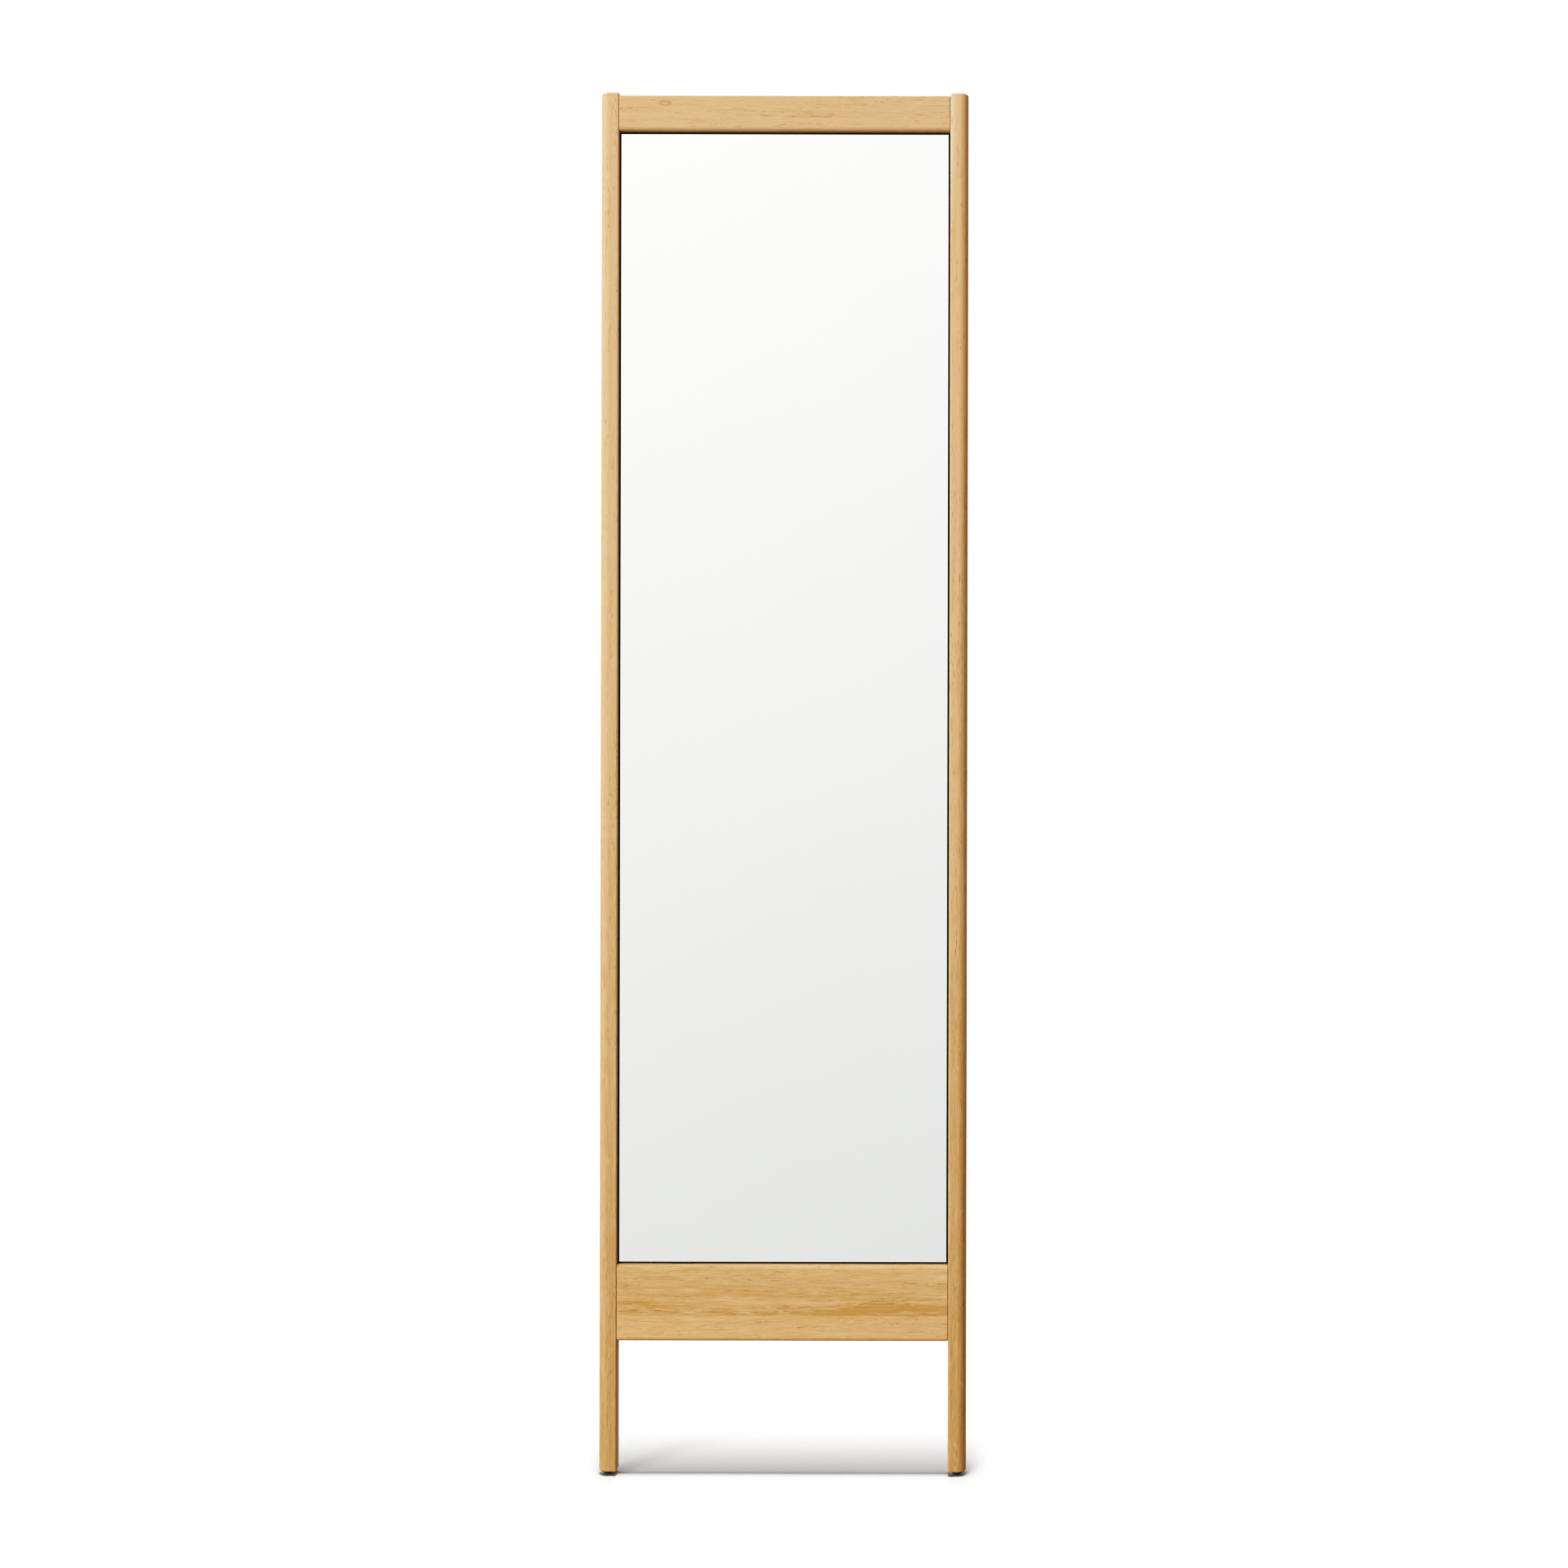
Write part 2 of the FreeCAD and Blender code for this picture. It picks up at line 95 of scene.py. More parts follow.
# ---- outlines ----
def arc(centre, radius, start, end, steps=8):
    """Points centre + radius (cos t, sin t), for t from start to end in degrees."""
    t = np.radians(np.linspace(start, end, steps + 1))
    return np.stack([centre[0] + radius * np.cos(t), centre[1] + radius * np.sin(t)], axis=1)


def joined(groups):
    """One closed outline from groups of points. Each gap between groups is a straight side, which
    gets a point SUPPORT from either end."""
    out = []
    for here, after in zip(groups, groups[1:] + groups[:1]):
        here, after = np.asarray(here, float), np.asarray(after, float)
        side = after[0] - here[-1]
        step = side / np.linalg.norm(side) * SUPPORT
        out += [here, [here[-1] + step, after[0] - step]]
    return np.concatenate(out)


def path(corners, count):
    """count points along straight runs between corners, the same number on each run."""
    corners = np.asarray(corners, float)
    at = np.linspace(0, len(corners) - 1, count)
    return np.stack([np.interp(at, range(len(corners)), corners[:, k]) for k in (0, 1)], axis=1)


def ease(radius, steps=6):
    """How an end is rounded over: rows of (inset of the outline, distance from the end face), a
    quarter circle from (radius, 0) to (0, radius)."""
    t = np.linspace(0, math.pi / 2, steps + 1)
    return np.stack([radius * (1 - np.sin(t)), radius * (1 - np.cos(t))], axis=1)


# ---- rings in space ----
def ring_z(outline, z):
    """An outline in X and Y, laid flat at height z."""
    return np.column_stack([outline, np.full(len(outline), z)])


def ring_x(outline, x):
    """An outline in Y and Z, standing at x."""
    return np.column_stack([np.full(len(outline), x), outline])


def turned(profile, centre, axis, angles=None):
    """A turned shape. Row (r, h) of the profile becomes a ring of radius r, h along the axis from the
    centre. r may also hold one radius for each angle. A ring runs round the axis by the right-hand
    rule."""
    if angles is None:
        angles = np.linspace(0, 2 * math.pi, 48, endpoint=False)
    across, up = {"y": ((0, 0, 1), (1, 0, 0)), "z": ((1, 0, 0), (0, 1, 0))}[axis]
    along = np.cross(across, up)
    round_way = np.outer(np.cos(angles), across) + np.outer(np.sin(angles), up)
    middle = np.asarray(centre)
    rings = [middle + np.multiply(np.reshape(r, (-1, 1)), round_way) + h * along for r, h in profile]
    return np.array(rings)


def other_side(stack):
    """The same skin mirrored in the plane X = 0, its rings reversed so that its faces still point
    outwards."""
    return (stack * [-1, 1, 1])[:, ::-1]


def skin(stack):
    """Vertices and faces over a stack of rings with shape (rings, points, 3): a quad between each pair
    of neighbouring points on neighbouring rings, and a fan from each end ring to its mean point."""
    rings, points, _ = stack.shape
    vertices = np.concatenate([stack.reshape(-1, 3), [stack[0].mean(0), stack[-1].mean(0)]])
    i, j = np.meshgrid(np.arange(rings - 1), np.arange(points), indexing="ij")
    after = (j + 1) % points
    here, above = i * points, (i + 1) * points
    quads = np.stack([here + j, here + after, above + after, above + j], axis=-1)
    j, after = j[0], after[0]
    first, last = rings * points, (rings - 1) * points
    low = np.column_stack([np.full(points, first), after, j])
    high = np.column_stack([np.full(points, first + 1), last + j, last + after])
    return vertices, quads.reshape(-1, 4).tolist() + low.tolist() + high.tolist()


def piece(name, stacks, body, finish):
    """One object from one or more stacks of rings, smooth except at sharp edges. It rides on its CAD
    body, and name_skin stands for the CAD node called name."""
    vertices, faces, count = [], [], 0
    for stack in stacks:
        points, sides = skin(stack)
        vertices.append(points)
        faces += [[count + v for v in side] for side in sides]
        count += len(points)
    mesh = bpy.data.meshes.new(name)
    mesh.from_pydata(np.concatenate(vertices).tolist(), [], faces)
    mesh.shade_smooth()
    mesh.set_sharp_from_angle(angle=math.radians(SHARP_DEGREES))
    mesh.materials.append(finish)
    made = bpy.data.objects.new(name, mesh)
    bpy.context.scene.collection.objects.link(made)
    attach(made, body)
    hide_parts(name.removesuffix("_skin"))
    return made


# ---- finishes ----
def finish_tree(name, colour=None, **sockets):
    """A new finish and its node tree. Named sockets of the shader are set directly."""
    material = bpy.data.materials.new(name)
    material.use_nodes = True
    shader = material.node_tree.nodes["Principled BSDF"]
    if colour:
        shader.inputs["Base Color"].default_value = (*colour, 1)
    for socket, value in sockets.items():
        shader.inputs[socket.replace("_", " ")].default_value = value
    return material, material.node_tree, shader


def add(tree, kind, inputs=(), **settings):
    """A new node. inputs pairs an input with a number, a tuple or another node's output."""
    made = tree.nodes.new("ShaderNode" + kind)
    for key, value in settings.items():
        setattr(made, key, value)
    for socket, value in dict(inputs).items():
        if isinstance(value, bpy.types.NodeSocket):
            tree.links.new(value, made.inputs[socket])
        else:
            made.inputs[socket].default_value = value
    return made


def place(tree, location=(0, 0, 0), rotation=(0, 0, 0), scale=(1, 1, 1)):
    """Object coordinates, moved, turned and scaled."""
    where = add(tree, "TexCoord")
    return add(tree, "Mapping", {0: where.outputs["Object"], "Location": location, "Rotation": rotation,
                                 "Scale": scale}).outputs[0]


def noise(tree, where, scale, detail=4.0, roughness=0.5, distortion=0.0):
    """Noise from 0 to 1 with a mean near 0.5."""
    return add(tree, "TexNoise", {"Vector": where, "Scale": scale, "Detail": detail, "Roughness": roughness,
                                  "Distortion": distortion}).outputs["Fac"]


def level(tree, value, low, high, to_low=0.0, to_high=1.0):
    """value, from low..high to to_low..to_high, held at both ends."""
    return add(tree, "MapRange", {"Value": value, "From Min": low, "From Max": high, "To Min": to_low,
                                  "To Max": to_high}).outputs[0]


def sums(tree, operation, a, b):
    """a and b put through a Math node's operation."""
    return add(tree, "Math", {0: a, 1: b}, operation=operation).outputs[0]


def mix(tree, amount, a, b):
    """Two colours, mixed by amount."""
    made = add(tree, "Mix", data_type="RGBA")
    for socket, value in ((0, amount), (6, a), (7, b)):
        if isinstance(value, bpy.types.NodeSocket):
            tree.links.new(value, made.inputs[socket])
        else:
            made.inputs[socket].default_value = value if socket == 0 else (*value, 1)
    return made.outputs[2]


def bump(tree, shader, height, distance, strength):
    """Texture on a shader's surface. A height of 1 is worth this distance."""
    made = add(tree, "Bump", {"Height": height, "Distance": distance, "Strength": strength})
    tree.links.new(made.outputs[0], shader.inputs["Normal"])


def spot(tree, centre, size):
    """1 at a centre, falling to 0 on an ellipsoid of these half sizes."""
    middle = tuple(-c / s for c, s in zip(centre, size))
    where = place(tree, scale=tuple(1 / s for s in size), location=middle)
    length = add(tree, "VectorMath", {0: where}, operation="LENGTH").outputs["Value"]
    return level(tree, length, 1.0, 0.0)


PALE_OAK = (0.66, 0.50, 0.335)
HONEY_OAK = (0.51, 0.337, 0.155)
PORE_OAK = (0.36, 0.20, 0.085)
KNOT_OAK = (0.34, 0.16, 0.07)
SAP_OAK = (0.74, 0.64, 0.48)
PAINTED_SHADE_FROM_Z = 1.95          # painted shade: the wood is painted darker and more honey-coloured from here down to the floor
PAINTED_SHADE_STRENGTH = 0.80
STREAK_DEPTH = 0.75


def oak(name, along, seed, tone=0.5, lift=1.0, figure=1.0, knots=(), streaks=(), sapwood=None):
    """Oiled oak with its grain along one axis. Broad bands and drawn-out growth lines mix a pale and a
    honey tone, with fine fibres and short dark pores along the grain and short light flecks here and
    there. Painted shade: the wood is painted darker and more honey-coloured towards the floor, for the
    dimmer, warmer light low down.

    seed shifts the pattern. tone moves a board towards honey, lift brightens it, and figure scales
    its bands and lines. A knot, a darker streak and the pale sapwood are each (centre, half sizes). A
    knot is a dark ring round a pale eye."""
    material, tree, shader = finish_tree(name, Roughness=0.52, Specular_IOR_Level=0.35)
    shift = (0.37 * seed, 0.71 * seed, 0.53 * seed)

    def grain(length, width):
        """Coordinates stretched so that a pattern of size 1 is this long along the grain and this wide
        across."""
        stretch = {"x": (length, width, width), "z": (width, width, length)}[along]
        return place(tree, location=shift, scale=tuple(1 / size for size in stretch))

    bands = noise(tree, grain(0.9, 0.024), 1.0, 3.0, 0.5, 0.3)
    lines = noise(tree, grain(0.30, 0.0055), 1.0, 3.0, 0.55, 0.9)
    wavy = noise(tree, grain(0.055, 0.0032), 1.0, 3.0, 0.6, 1.2)
    fibres = noise(tree, grain(0.030, 0.0011), 1.0, 4.0, 0.65, 0.4)
    pores = noise(tree, grain(0.011, 0.0010), 1.0, 2.0, 0.5, 0.3)
    pore_rows = noise(tree, grain(0.12, 0.006), 1.0, 2.0, 0.5, 0.5)
    flecks = noise(tree, grain(0.009, 0.0022), 1.0, 2.0, 0.5, 0.6)

    height = add(tree, "SeparateXYZ", {0: add(tree, "TexCoord").outputs["Object"]}).outputs["Z"]
    # painted shade: 0 at the top of the frame and 1 at the floor; it mixes the wood towards the darker honey
    # tone, for the dimmer, warmer light low down
    warm = level(tree, height, PAINTED_SHADE_FROM_Z, 0.0)
    amount = sums(tree, "ADD", level(tree, bands, 0.3, 0.7, -0.22 * figure, 0.22 * figure),
                  level(tree, lines, 0.3, 0.7, -0.20 * figure, 0.20 * figure))
    amount = sums(tree, "ADD", amount, level(tree, wavy, 0.3, 0.7, -0.30 * figure, 0.30 * figure))
    amount = sums(tree, "ADD", amount, level(tree, fibres, 0.3, 0.7, -0.34, 0.34))
    for centre, size in streaks:
        reach = level(tree, spot(tree, centre, size), 0.0, 0.55)
        depth = sums(tree, "MULTIPLY", reach, level(tree, wavy, 0.25, 0.6))
        amount = sums(tree, "ADD", amount, sums(tree, "MULTIPLY", depth, STREAK_DEPTH))
    # the painted shade towards the floor, added to the mix towards honey
    amount = sums(tree, "ADD", amount, sums(tree, "MULTIPLY", warm, PAINTED_SHADE_STRENGTH))
    amount = add(tree, "Math", {0: amount, 1: tone - 0.5}, operation="ADD", use_clamp=True).outputs[0]
    pale, honey = ([lift * part for part in shade] for shade in (PALE_OAK, HONEY_OAK))
    colour = mix(tree, amount, pale, honey)

    if sapwood:
        colour = mix(tree, level(tree, spot(tree, *sapwood), 0.0, 0.6, 0.0, 0.85), colour, SAP_OAK)
    light = sums(tree, "MULTIPLY", level(tree, flecks, 0.66, 0.74), level(tree, bands, 0.45, 0.6))
    colour = mix(tree, sums(tree, "MULTIPLY", light, 0.7), colour, SAP_OAK)
    dark = sums(tree, "MULTIPLY", level(tree, pores, 0.58, 0.68), level(tree, pore_rows, 0.42, 0.62))
    colour = mix(tree, sums(tree, "MULTIPLY", dark, 0.7), colour, PORE_OAK)
    for centre, size in knots:
        eye = spot(tree, centre, size)
        colour = mix(tree, level(tree, eye, 0.05, 0.35, 0.0, 0.42), colour, KNOT_OAK)
        colour = mix(tree, level(tree, eye, 0.40, 0.65, 0.0, 0.75), colour, PALE_OAK)
    tree.links.new(colour, shader.inputs["Base Color"])

    rough = level(tree, fibres, 0.3, 0.7, 0.46, 0.60)
    tree.links.new(rough, shader.inputs["Roughness"])
    hollow = sums(tree, "SUBTRACT", sums(tree, "MULTIPLY", fibres, 0.35), dark)
    bump(tree, shader, hollow, 0.12 * MM, 0.6)
    return material


def plain_finish(name, colour, second, grain_size, **sockets):
    """A finish with a fine mottle between two near colours and a slight texture."""
    material, tree, shader = finish_tree(name, **sockets)
    mottle = noise(tree, place(tree), 1 / grain_size, 3.0, 0.6)
    mottled = mix(tree, level(tree, mottle, 0.35, 0.65), colour, second)
    tree.links.new(mottled, shader.inputs["Base Color"])
    bump(tree, shader, mottle, 0.05 * MM, 0.5)
    return material


SILVER = (0.866, 0.880, 0.848)
HAZY_SILVER = (0.876, 0.890, 0.860)
GLASS_EDGE = (0.10, 0.125, 0.11)


def silvered_glass():
    """The mirror: its front face reflects, and the rest of it is dark greenish glass."""
    material, tree, shader = finish_tree("silvered_glass", Roughness=0.0, Metallic=1.0)
    facing = add(tree, "SeparateXYZ", {0: add(tree, "TexCoord").outputs["Normal"]}).outputs["Y"]
    edge = level(tree, facing, -0.97, -0.90)    # 0 where the surface faces -Y, 1 elsewhere
    haze = noise(tree, place(tree), 3.0, 2.0)
    silver = mix(tree, level(tree, haze, 0.3, 0.7), SILVER, HAZY_SILVER)
    tree.links.new(mix(tree, edge, silver, GLASS_EDGE), shader.inputs["Base Color"])
    tree.links.new(level(tree, edge, 0, 1, 1.0, 0.0), shader.inputs["Metallic"])
    tree.links.new(level(tree, edge, 0, 1, 0.0, 0.25), shader.inputs["Roughness"])
    return material


def painted_panel():
    """Black painted fibreboard: a fine stipple with slow changes of sheen."""
    material, tree, shader = finish_tree("painted_panel", Roughness=0.6)
    stipple = noise(tree, place(tree), 900.0, 3.0, 0.6)
    slow = noise(tree, place(tree), 5.0, 4.0, 0.6)
    dust = noise(tree, place(tree), 160.0, 2.0, 0.5)
    colour = mix(tree, level(tree, slow, 0.3, 0.7), (0.022, 0.021, 0.020), (0.032, 0.031, 0.029))
    colour = mix(tree, level(tree, dust, 0.68, 0.78, 0.0, 0.25), colour, (0.09, 0.085, 0.08))
    tree.links.new(colour, shader.inputs["Base Color"])
    tree.links.new(level(tree, slow, 0.3, 0.7, 0.52, 0.68), shader.inputs["Roughness"])
    bump(tree, shader, stipple, 0.08 * MM, 0.5)
    return material


def plated_steel():
    """Zinc-plated steel, lightly brushed and clouded."""
    material, tree, shader = finish_tree("plated_steel", Metallic=1.0)
    cloud = noise(tree, place(tree), 220.0, 4.0, 0.6)
    brush = noise(tree, place(tree, scale=(2600, 2600, 160)), 1.0, 2.0)
    tree.links.new(mix(tree, level(tree, cloud, 0.3, 0.7), (0.56, 0.57, 0.58), (0.70, 0.71, 0.72)),
                   shader.inputs["Base Color"])
    tree.links.new(level(tree, cloud, 0.3, 0.7, 0.24, 0.40), shader.inputs["Roughness"])
    bump(tree, shader, brush, 0.02 * MM, 0.4)
    return material


# ---- wooden frame ----
def stile_outline(inset, rebated=False):
    """The right stile's D section in X and Y, anticlockwise from its front inner corner: a small round,
    the front face, the half-round outside, the back face, a small round and the inner face. The
    rebated section steps in behind the mirror instead of that last round, with as many points, so
    that the two can be skinned together."""
    low, high = STILE_LOW, STILE_HIGH
    small, big = STILE_EDGE_ROUND, STILE_DEPTH / 2
    front_inner = arc((low.x + small, low.y + small), small - inset, 180, 270)
    outside = arc((high.x - big, STILE_MID_Y), big - inset, -90, 90, 40)
    back_inner = arc((low.x + small, high.y - small), small - inset, 90, 180)
    step_ends = [(REBATE_X, high.y - inset), (low.x + inset, REBATE_Y)]
    whole = np.concatenate([step_ends[:1], back_inner, step_ends[1:]])
    stepped = path([step_ends[0], (REBATE_X, REBATE_Y), step_ends[1]], len(whole))
    return joined([front_inner, outside, stepped if rebated else whole])


def right_stile():
    """Rings from the blind end of the foot hole, down its walls, over the foot, up the stile, and over
    the top."""
    whole = stile_outline(0)
    angles = np.arctan2(whole[:, 1] - STILE_MID_Y, whole[:, 0] - STILE_MID_X)
    centre = (STILE_MID_X, STILE_MID_Y, 0)
    insert_hole = (INSERT_HIGH.x - INSERT_LOW.x) / 2 + HOLE_WALL
    stud_hole = (STUD_HIGH.x - STUD_LOW.x) / 2 + STUD_ROOM
    foot, top = STILE_LOW.z, STILE_HIGH.z
    foot_hole = turned([(stud_hole, STUD_HIGH.z + STUD_ROOM_TOP), (stud_hole, INSERT_HIGH.z),
                        (insert_hole, INSERT_HIGH.z), (insert_hole, foot)], centre, "z", angles)
    rings = list(foot_hole)
    rings += [ring_z(stile_outline(inset), foot + height) for inset, height in ease(STILE_END_ROUND)]
    rings += [ring_z(whole, foot + STILE_END_ROUND + SUPPORT), ring_z(whole, REBATE_LOW_Z)]
    rings += [ring_z(stile_outline(0, True), z) for z in (REBATE_LOW_Z, REBATE_HIGH_Z)]
    rings += [ring_z(whole, REBATE_HIGH_Z), ring_z(whole, top - STILE_END_ROUND - SUPPORT)]
    rings += [ring_z(stile_outline(inset), top - height) for inset, height in ease(STILE_END_ROUND)[::-1]]
    return np.array(rings)


def rail_outline(low, high, corners, inset):
    """A rail's section in Y and Z, anticlockwise from its lower front corner. low and high are its boxed
    corners. Each of the four corners is a radius, "rebate" where the backing panel sits, or "seam"
    for a sharp glued edge. The outline is drawn in by inset on every side but a seam."""
    seam_low, seam_high = corners[0] == "seam", corners[2] == "seam"
    z_low = low.z + (0 if seam_low else inset)
    z_high = high.z - (0 if seam_high else inset)
    y_front, y_back = low.y + inset, high.y - inset
    places = [(y_front, z_low), (y_back, z_low), (y_back, z_high), (y_front, z_high)]
    groups = []
    for number, (kind, (y, z)) in enumerate(zip(corners, places)):
        if kind == "seam":
            groups.append([(y, z)])
        elif kind == "rebate":
            shelf = REBATE_HIGH_Z if number == 1 else REBATE_LOW_Z
            step = [(REBATE_Y, z), (REBATE_Y, shelf), (y, shelf)]
            groups += [[p] for p in (step if number == 1 else step[::-1])]
        else:
            reach = kind - inset
            centre_y = y + (reach if number in (0, 3) else -reach)
            centre_z = z + (reach if number in (0, 1) else -reach)
            start = 180 + 90 * number
            steps = 10 if kind == RAIL_BIG_ROUND else 6
            groups.append(arc((centre_y, centre_z), reach, start, start + 90, steps))
    return joined(groups)


def rail(low, high, corners):
    """A rail's section carried along X, drawn in over a quarter round at each end."""
    ends = ease(RAIL_END_EASE, 4)
    rings = [ring_x(rail_outline(low, high, corners, inset), low.x + reach) for inset, reach in ends]
    plain = rail_outline(low, high, corners, 0)
    for x in (low.x + RAIL_END_EASE + SUPPORT, high.x - RAIL_END_EASE - SUPPORT):
        rings.append(ring_x(plain, x))
    rings += [ring_x(rail_outline(low, high, corners, inset), high.x - reach) for inset, reach in ends[::-1]]
    return np.array(rings)


# ---- feet ----
def glide_pad():
    """Turned about the stile's middle: floor face, a quarter ellipse up to the straight rim, a softened
    top edge, and the socket that takes the stud."""
    rim = (PAD_HIGH.x - PAD_LOW.x) / 2
    floor, straight, soft = 4.0 * MM, 1.2 * MM, 0.3 * MM
    dome = PAD_HIGH.z - straight
    t = np.linspace(0, math.pi / 2, 13)
    profile = list(zip(floor + (rim - floor) * np.sin(t), dome * (1 - np.cos(t))))
    profile += [(rim - inset, PAD_HIGH.z - reach) for inset, reach in ease(soft, 4)[::-1]]
    socket = (STUD_HIGH.x - STUD_LOW.x) / 2 + HOLE_WALL
    profile += [(socket, PAD_HIGH.z), (socket, STUD_LOW.z - HOLE_WALL)]
    return turned(profile, (STILE_MID_X, STILE_MID_Y, 0), "z")


def glide_stud():
    """A right-hand thread: at height h and angle t the radius is the crest less depth times a triangle
    wave of h / pitch - t / one turn. The thread runs out towards both ends, and the tip is
    chamfered."""
    crest = (STUD_HIGH.x - STUD_LOW.x) / 2
    chamfer, plain_end, rings_per_pitch = 0.8 * MM, 2 * MM, 10
    angles = np.linspace(0, 2 * math.pi, 40, endpoint=False)
    heights = np.arange(STUD_LOW.z, STUD_HIGH.z, THREAD_PITCH / rings_per_pitch)
    phase = (heights[:, None] / THREAD_PITCH - angles[None, :] / (2 * math.pi)) % 1
    wave = np.abs(2 * phase - 1)
    from_end = np.minimum(heights - STUD_LOW.z - plain_end, STUD_HIGH.z - heights)
    run_out = np.clip(from_end / THREAD_PITCH, 0, 1)
    radii = crest - THREAD_DEPTH * wave * run_out[:, None]
    radii = np.minimum(radii, crest - chamfer + (STUD_HIGH.z - heights)[:, None])
    profile = [(radii[k], heights[k]) for k in range(len(heights))]
    return turned(profile, (STILE_MID_X, STILE_MID_Y, 0), "z", angles)


# ---- back ----
def wall_rest():
    """A low rubber button on the back of the stile's top, with a soft rim and a slightly crowned face."""
    radius, thick = (REST_HIGH.x - REST_LOW.x) / 2, REST_HIGH.y - REST_LOW.y
    soft, crown = 0.7 * MM, 0.15 * MM
    profile = [(radius, 0)]
    profile += [(radius - inset, thick - crown - reach) for inset, reach in ease(soft, 6)[::-1]]
    for share in (0.75, 0.5, 0.25, 0.05):
        profile.append((share * (radius - soft), thick - crown * share ** 2))
    centre = ((REST_LOW.x + REST_HIGH.x) / 2, REST_LOW.y, (REST_LOW.z + REST_HIGH.z) / 2)
    return turned(profile, centre, "y")


def cross_radii(arm, half_slot, angles):
    """How far a driver cross reaches from its centre at each angle: its arms' ends or sides, the nearer."""
    c, s = np.abs(np.cos(angles)), np.abs(np.sin(angles))
    long, short = np.maximum(c, s), np.minimum(c, s)
    return np.minimum(arm / long, half_slot / np.maximum(short, 1e-9))


def pan_screw(centre, shank, length, head, head_height, turn=0.0):
    """A pan-head screw driven towards -Y, with the underside of its head at the centre: a pointed shank,
    the head, its rounded rim, and a cross recess turned by turn."""
    arm, half_slot, recess = 1.1 * MM, 0.37 * MM, 1.2 * MM
    corner = math.atan(half_slot / arm)
    quarter = np.array([0, corner / 2, corner, math.radians(30), math.pi / 4, math.radians(60),
                        math.pi / 2 - corner, math.pi / 2 - corner / 2])
    angles = np.concatenate([quarter + k * math.pi / 2 for k in range(4)])
    cross = cross_radii(arm, half_slot, angles)
    profile = [(0.1 * MM, -length), (shank / 2, -length + shank / 2), (shank / 2, 0), (head / 2, 0)]
    soft = 0.6 * head_height
    profile += [(head / 2 - inset, head_height - reach) for inset, reach in ease(soft, 5)[::-1]]
    profile += [(cross, head_height), (cross * 0.8, head_height - recess)]
    return turned(profile, centre, "y", angles + turn)


def panel_screw_centres():
    """The middle of each screw in the group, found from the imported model's own group."""
    points = np.array([v.co for v in nodes["backing_panel_screws"].data.vertices])[:, [0, 2]]
    cells = np.round(points / SCREW_CELL).astype(int)
    centres = []
    for cell in sorted(set(map(tuple, cells.tolist()))):
        these = points[(cells == cell).all(axis=1)]
        centres.append(tuple((these.min(axis=0) + these.max(axis=0)) / 2))
    return centres


# ---- room ----
FLOOR_RADIUS = 0.5
FLOOR_Z = -0.2 * MM         # just under the pads
WHITE = (1, 1, 1)
WARM_WHITE = (1, 0.66, 0.27)
MIDDLE = (0, 0, 1.0)        # what the big lights face


def floor():
    """A pale floor, a disc of rings. It fades to nothing a little way off from the mirror's feet,
    because the room behind is the same white, and it is open from below."""
    angles = np.linspace(0, 2 * math.pi, 96, endpoint=False)
    profile = [(radius, FLOOR_Z) for radius in np.linspace(FLOOR_RADIUS, 0.02, 12)]
    rings = turned(profile, (0, 0, 0), "z", angles)
    vertices, faces = skin(rings)
    rim = len(angles)
    mesh = bpy.data.meshes.new("floor")
    mesh.from_pydata(vertices.tolist(), [], faces[:-2 * rim] + faces[-rim:])
    material, tree, shader = finish_tree("pale_floor", (0.30, 0.30, 0.30), Roughness=0.9,
                                         Specular_IOR_Level=0.1)
    where = add(tree, "SeparateXYZ", {0: place(tree)})
    seen = sums(tree, "SUBTRACT", 1.0, add(tree, "NewGeometry").outputs["Backfacing"])
    for axis, clear, gone in (("X", 0.250, 0.310), ("Y", 0.15, 0.30)):
        away = add(tree, "Math", {0: where.outputs[axis]}, operation="ABSOLUTE").outputs[0]
        fade = add(tree, "MapRange", {"Value": away, "From Min": gone, "From Max": clear},
                   interpolation_type="SMOOTHSTEP").outputs[0]
        seen = sums(tree, "MULTIPLY", seen, fade)
    tree.links.new(seen, shader.inputs["Alpha"])
    mesh.materials.append(material)
    made = bpy.data.objects.new("floor", mesh)
    made.visible_glossy = made.visible_diffuse = False
    bpy.context.scene.collection.objects.link(made)
    return made


def softbox(name, centre, towards, size, power):
    """A rectangular white light at a centre, facing a point."""
    data = bpy.data.lights.new(name, "AREA")
    data.shape, data.size, data.size_y = "RECTANGLE", *size
    data.energy = power
    made = bpy.data.objects.new(name, data)
    made.location = centre
    made.rotation_euler = (Vector(towards) - Vector(centre)).to_track_quat("-Z", "Y").to_euler()
    made.visible_glossy = False
    bpy.context.scene.collection.objects.link(made)
    return made


def light_only(light, target):
    """Keeps a light to one object. Every other object still casts its shadow there."""
    lit = bpy.data.collections.new("lit_by_" + light.name)
    lit.objects.link(target)
    light.light_linking.receiver_collection = lit


